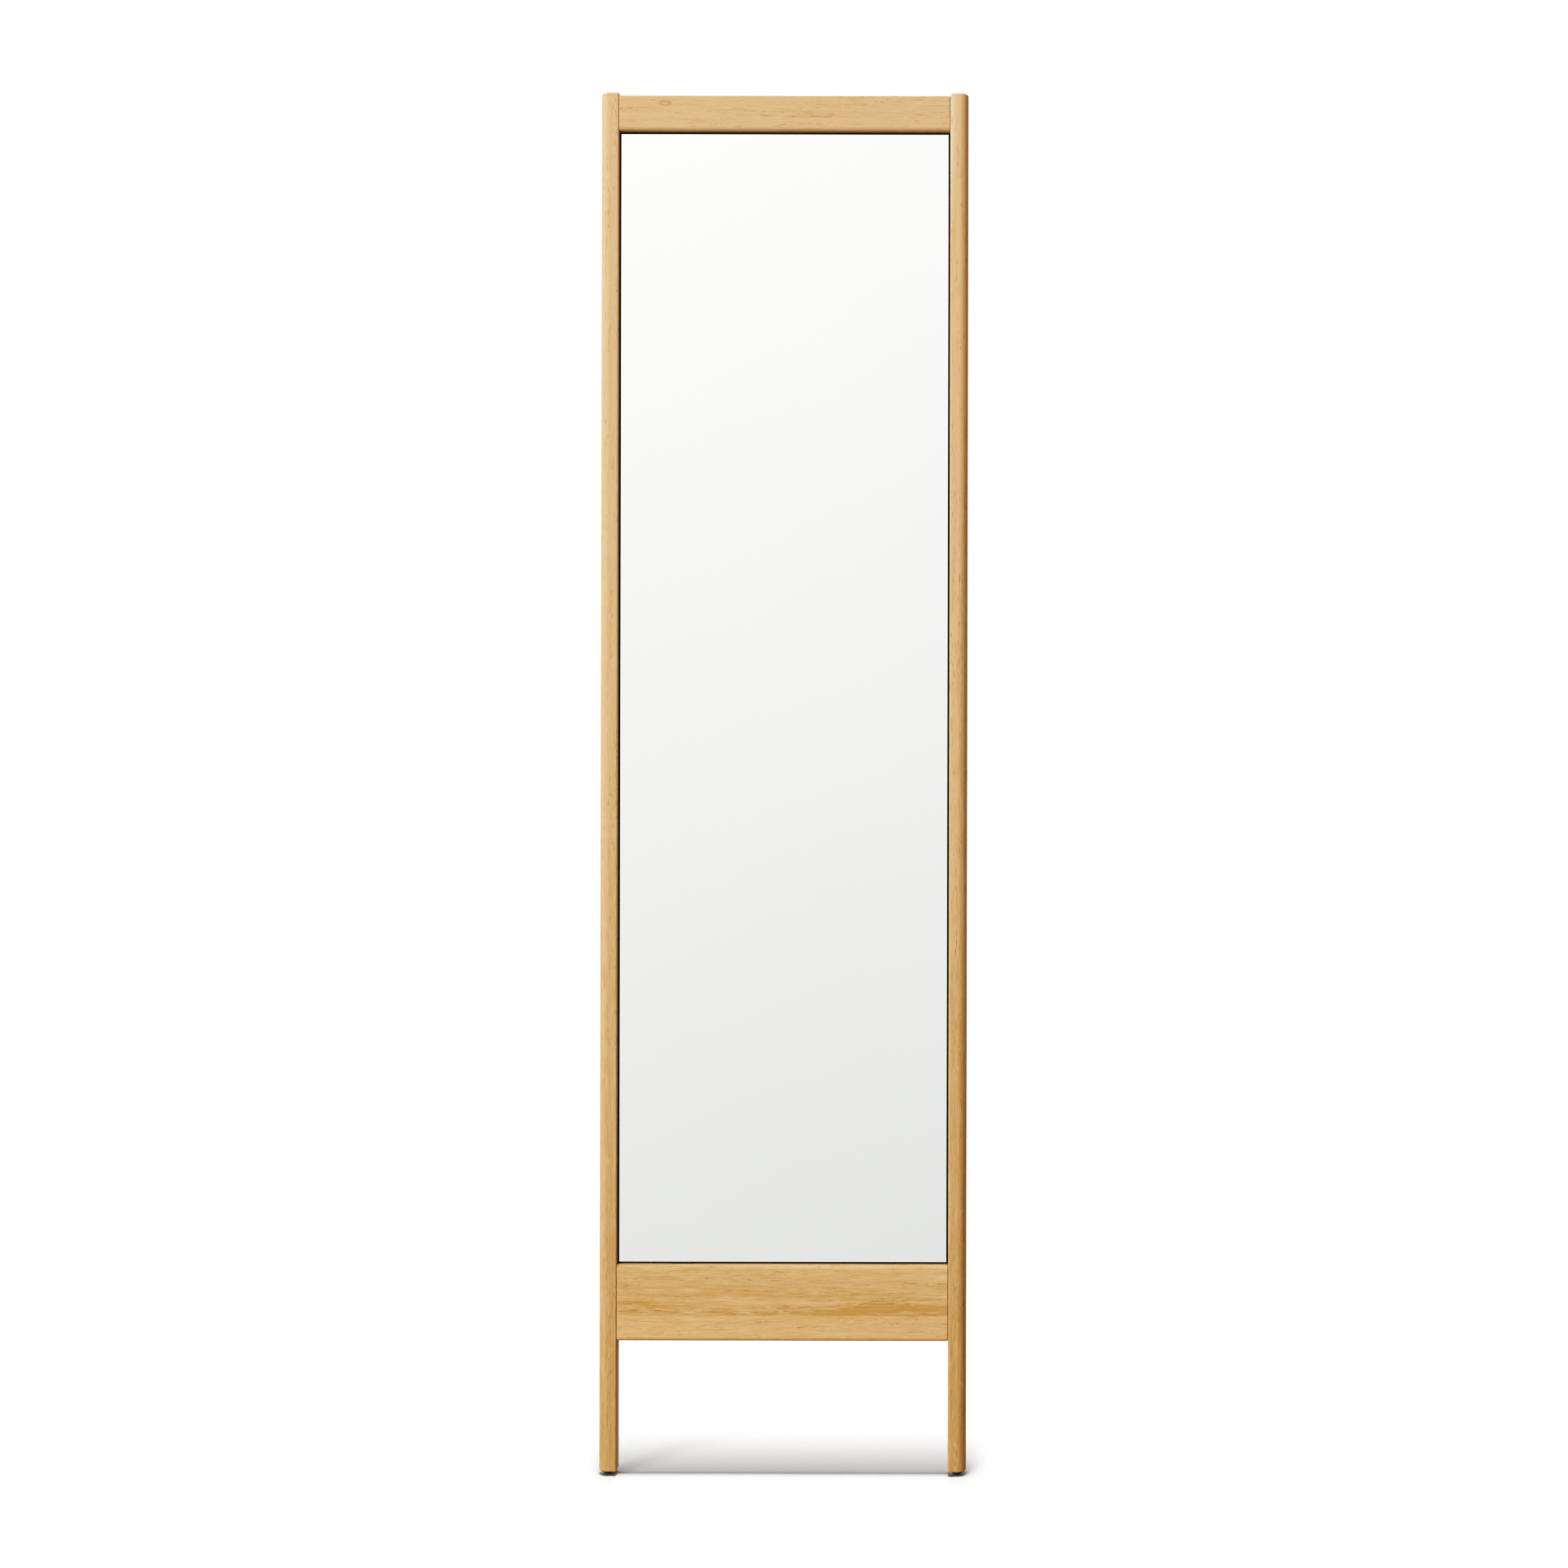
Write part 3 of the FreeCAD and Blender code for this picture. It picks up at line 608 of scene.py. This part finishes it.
def studio():
    """A white room. The mirror sees it brighter towards the top; matt surfaces see it neutral from the
    upper left and warm from the lower right."""
    world = bpy.data.worlds.new("studio")
    world.use_nodes = True
    tree = world.node_tree
    background = tree.nodes["Background"]
    way = add(tree, "SeparateXYZ", {0: add(tree, "TexCoord").outputs["Generated"]})
    across, up = way.outputs["X"], way.outputs["Z"]
    height = level(tree, up, -0.24, 0.31, 0.80, 1.105)
    side = level(tree, across, -0.15, 0.02, 1.02, 0.98)
    far_side = level(tree, across, 0.15, 1.0, 1.0, 0.30)
    seen = sums(tree, "MULTIPLY", sums(tree, "MULTIPLY", height, side), far_side)
    soft = sums(tree, "MULTIPLY", level(tree, up, -1.0, 1.0, 0.25, 0.70),
                level(tree, across, -1.0, 1.0, 1.06, 0.90))
    low_right = add(tree, "Math", {0: across, 1: up}, operation="SUBTRACT").outputs[0]
    tint = mix(tree, level(tree, low_right, -0.6, 0.9), WHITE, WARM_WHITE)
    rays = add(tree, "LightPath")
    matt = sums(tree, "SUBTRACT", 1.0, rays.outputs["Is Camera Ray"])
    matt = sums(tree, "MULTIPLY", matt, sums(tree, "SUBTRACT", 1.0, rays.outputs["Is Glossy Ray"]))
    strength = add(tree, "Mix", {0: rays.outputs["Is Glossy Ray"], 2: soft, 3: seen}, data_type="FLOAT")
    backdrop = 1.05
    strength = add(tree, "Mix", {0: rays.outputs["Is Camera Ray"], 2: strength.outputs[0], 3: backdrop},
                   data_type="FLOAT")
    tree.links.new(strength.outputs[0], background.inputs["Strength"])
    tree.links.new(mix(tree, matt, WHITE, tint), background.inputs["Color"])
    bpy.context.scene.world = world


def contrasty_view(shoulder=0.4):
    """A contrasty film over the plain view: x goes to (1 + k) x^2 / (x^2 + k), with k the shoulder,
    which deepens shadows and holds back highlights."""
    view = bpy.context.scene.view_settings
    view.view_transform = "Standard"
    view.use_curve_mapping = True
    curve = view.curve_mapping.curves[3]
    for x in np.linspace(0.1, 0.9, 9):
        curve.points.new(x, (1 + shoulder) * x * x / (x * x + shoulder))
    view.curve_mapping.update()


def camera():
    """Square to the mirror and a little to its right, with the lens shifted back to bring the mirror
    to the middle, less a small margin, and the picture turned by a slight roll."""
    data = bpy.data.cameras.new("camera")
    distance, field, aside, margin = 3.0, 2.2147, 0.215, 0.0009
    centre_height, roll = 0.9785, math.radians(0.12)
    data.sensor_width = 36.0
    data.lens = data.sensor_width * distance / field
    data.shift_x = -(aside - margin) / field
    data.clip_end = 100
    made = bpy.data.objects.new("camera", data)
    made.location = (aside, STILE_LOW.y - distance, centre_height)
    made.rotation_euler = (math.pi / 2, -roll, 0)
    bpy.context.scene.collection.objects.link(made)
    bpy.context.scene.camera = made


# ---- the object ----
top_oak = oak("oak_top_rail", "x", 1.0, tone=0.50,
              knots=[((-0.1690, RAIL_LOW.y, 1.9392), (0.0115, 0.006, 0.0042))])
upper_oak = oak("oak_upper_board", "x", 2.3, tone=0.22, lift=1.08,
                streaks=[((-0.16, RAIL_LOW.y, SEAM_Z + 0.006), (0.11, 0.03, 0.012)),
                         ((-0.22, RAIL_LOW.y, SEAM_Z + 0.018), (0.06, 0.03, 0.004)),
                         ((0.02, RAIL_LOW.y, SEAM_Z), (0.13, 0.03, 0.010)),
                         ((0.16, RAIL_LOW.y, SEAM_Z + 0.004), (0.14, 0.03, 0.018))])
lower_oak = oak("oak_lower_board", "x", 4.1, tone=0.18, lift=1.11, figure=0.5)
left_oak = oak("oak_left_stile", "z", 5.7, tone=0.36, figure=0.8)
right_oak = oak("oak_right_stile", "z", 7.9, tone=0.38, lift=1.03, figure=0.8,
                knots=[((0.2446, STILE_LOW.y, 1.8545), (0.0012, 0.006, 0.005))],
                sapwood=((STILE_LOW.x, STILE_LOW.y, STILE_HIGH.z), (0.010, 0.030, 0.22)))

stile = right_stile()
piece("right_stile_skin", [stile], "frame", right_oak)
piece("left_stile_skin", [other_side(stile)], "frame", left_oak)
big, small = RAIL_BIG_ROUND, RAIL_SMALL_ROUND
top_rail = rail(RAIL_LOW, RAIL_HIGH, [big, "rebate", small, small])
piece("top_rail_skin", [top_rail], "frame", top_oak)
lower_board = rail(LOWER_LOW, LOWER_HIGH, [big, small, "seam", "seam"])
piece("bottom_rail_lower_board_skin", [lower_board], "frame", lower_oak)
upper_board = rail(UPPER_LOW, UPPER_HIGH, ["seam", "seam", "rebate", big])
piece("bottom_rail_upper_board_skin", [upper_board], "frame", upper_oak)

nylon = plain_finish("black_nylon", (0.012, 0.012, 0.013), (0.020, 0.020, 0.021),
                     grain_size=0.0012, Roughness=0.42)
rubber = plain_finish("soft_rubber", (0.045, 0.043, 0.042), (0.065, 0.062, 0.060),
                      grain_size=0.0009, Roughness=0.75)
brass = plain_finish("insert_brass", (0.55, 0.42, 0.19), (0.66, 0.51, 0.25),
                     grain_size=0.0015, Roughness=0.35, Metallic=1.0)
steel = plated_steel()
pad, stud, rest = glide_pad(), glide_stud(), wall_rest()
for side, turn_over in (("right", lambda stack: stack), ("left", other_side)):
    piece(f"{side}_glide_pad_skin", [turn_over(pad)], f"{side}_glide", nylon)
    piece(f"{side}_wall_rest_skin", [turn_over(rest)], "frame", rubber)
studs = {"right": stud, "left": stud - [2 * STILE_MID_X, 0, 0]}
for side, stack in studs.items():
    piece(f"{side}_glide_stud_skin", [stack], f"{side}_stud", steel)

screw_back = PANEL_HIGH.y
screws = [pan_screw((x, screw_back, z), shank=3.0 * MM, length=15.0 * MM, head=6.4 * MM,
                    head_height=2.0 * MM, turn=1.9 * number)
          for number, (x, z) in enumerate(panel_screw_centres())]
piece("backing_panel_screws_skin", screws, "frame", steel)
tab_head = 1.6 * MM
tab_screw_centre = (0, TAB_SCREW_HIGH.y - tab_head, (TAB_SCREW_LOW.z + TAB_SCREW_HIGH.z) / 2)
tab_screw = pan_screw(tab_screw_centre, shank=4.0 * MM, length=tab_screw_centre[1] - TAB_SCREW_LOW.y,
                      head=9.0 * MM, head_height=tab_head, turn=0.5)
piece("wall_tab_screw_skin", [tab_screw], "frame", steel)

dowel_wood = plain_finish("dowel_beech", (0.68, 0.48, 0.29), (0.76, 0.56, 0.36),
                          grain_size=0.002, Roughness=0.6)
film = plain_finish("shatter_film", (0.50, 0.52, 0.53), (0.56, 0.58, 0.59),
                    grain_size=0.004, Roughness=0.35)
tape = plain_finish("foam_tape", (0.72, 0.71, 0.67), (0.80, 0.79, 0.75),
                    grain_size=0.0008, Roughness=0.9)
cad_finishes = {
    "mirror_glass": silvered_glass(),
    "backing_panel": painted_panel(),
    "shatter_film": film,
    "mounting_tapes": tape,
    "setting_blocks": rubber,
    "wall_tab": steel,
    "wall_tab_spacer": steel,
    **{f"{side}_{kind}_dowels": dowel_wood for side in ("left", "right") for kind in ("top", "bottom")},
    **{f"{side}_foot_insert": brass for side in ("left", "right")},
}
for node_name, finish in cad_finishes.items():
    nodes[node_name].data.materials.clear()
    nodes[node_name].data.materials.append(finish)

# ---- the room ----
contrasty_view()
ground = floor()
studio()
softbox("key", centre=(-6.2, -8.4, 5.2), towards=MIDDLE, size=(3.2, 3.2), power=850)
softbox("back", centre=(0, 8.0, 4.0), towards=MIDDLE, size=(3.0, 3.0), power=420)
ceiling = softbox("ceiling", centre=(-0.1, -0.325, 10.0), towards=(-0.1, -0.325, 0), size=(0.6, 1.05),
                  power=2560)
light_only(ceiling, ground)
camera()
